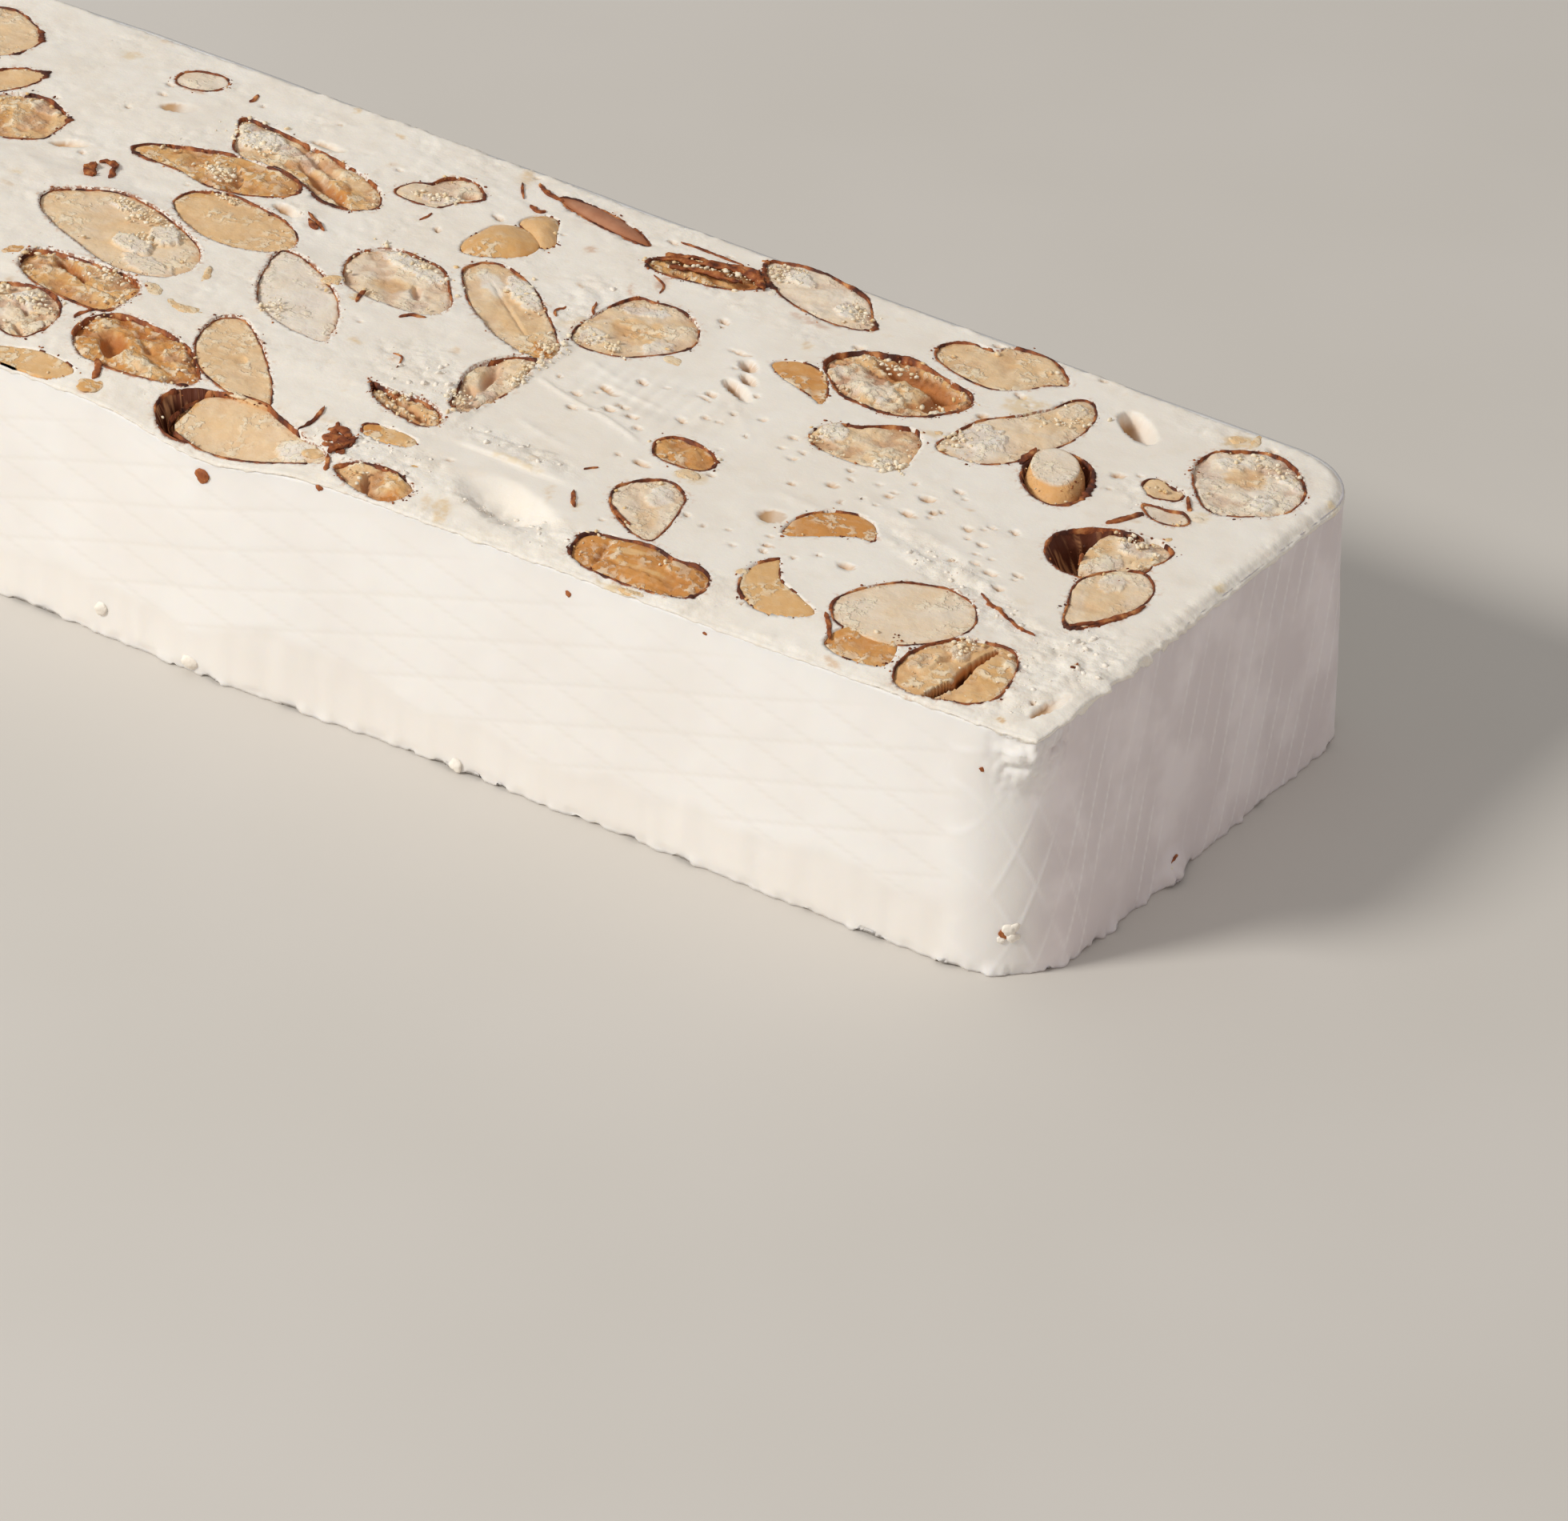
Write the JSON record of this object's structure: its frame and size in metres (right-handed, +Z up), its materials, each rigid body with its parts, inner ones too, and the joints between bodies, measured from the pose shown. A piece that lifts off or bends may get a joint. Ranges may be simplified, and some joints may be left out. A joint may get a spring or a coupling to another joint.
{
  "type": "nougat bar",
  "caption": "Bar of soft white almond nougat with rounded moulded sides and one knife-cut face that shows roasted almonds in section.",
  "frame": {"origin": "middle of the bottom of the bounding box, at the height of what the bar lies on", "axes": "+X along the bar towards its shown end, +Y across it away from the straight long side, +Z up out of the cut face"},
  "size_m": [0.21, 0.0803, 0.032],
  "materials": {
    "nougat": "soft white nougat, waxy and smooth on the moulded sides, dull and finely torn on the cut face",
    "almond_ivory": "cut kernel of a lightly roasted almond, dull, with a thin brown skin round it",
    "almond_tan": "cut kernel of a roasted almond, dull tan",
    "almond_roasted": "broken kernel of a darker roasted almond, golden brown, slightly oily",
    "almond_skin": "dark brown papery almond skin"
  },
  "bodies": {
    "root": {"nougat": "nougat", "almond_01": "almond_roasted", "almond_02": "almond_ivory", "almond_03": "almond_roasted", "almond_04": "almond_tan", "almond_05": "almond_tan", "almond_06": "almond_ivory", "almond_07": "almond_ivory", "almond_08": "almond_ivory", "almond_09": "almond_ivory", "almond_10": "almond_ivory", "almond_11": "almond_ivory", "almond_12": "almond_roasted", "almond_13": "almond_skin", "almond_14": "almond_skin", "almond_15": "almond_ivory", "almond_16": "almond_tan", "almond_17": "almond_roasted", "almond_18": "almond_roasted", "almond_19": "almond_ivory", "almond_20": "almond_ivory", "almond_21": "almond_tan", "almond_22": "almond_roasted", "almond_23": "almond_ivory", "almond_24": "almond_ivory", "almond_25": "almond_roasted", "almond_26": "almond_tan", "almond_27": "almond_tan", "almond_28": "almond_ivory", "almond_29": "almond_roasted", "almond_30": "almond_roasted", "almond_31": "almond_tan", "almond_32": "almond_ivory", "almond_33": "almond_roasted", "almond_34": "almond_tan", "almond_35": "almond_ivory", "almond_36": "almond_ivory", "almond_37": "almond_skin", "almond_38": "almond_roasted", "almond_39": "almond_roasted", "almond_40": "almond_ivory", "almond_41": "almond_roasted", "almond_42": "almond_ivory", "almond_43": "almond_tan", "almond_44": "almond_tan", "almond_45": "almond_roasted", "almond_46": "almond_ivory", "almond_47": "almond_tan", "almond_48": "almond_ivory", "almond_49": "almond_tan", "almond_50": "almond_ivory", "almond_51": "almond_ivory", "almond_52": "almond_ivory", "almond_53": "almond_roasted", "almond_54": "almond_ivory", "almond_55": "almond_tan", "almond_56": "almond_tan"}
  },
  "joints": []
}
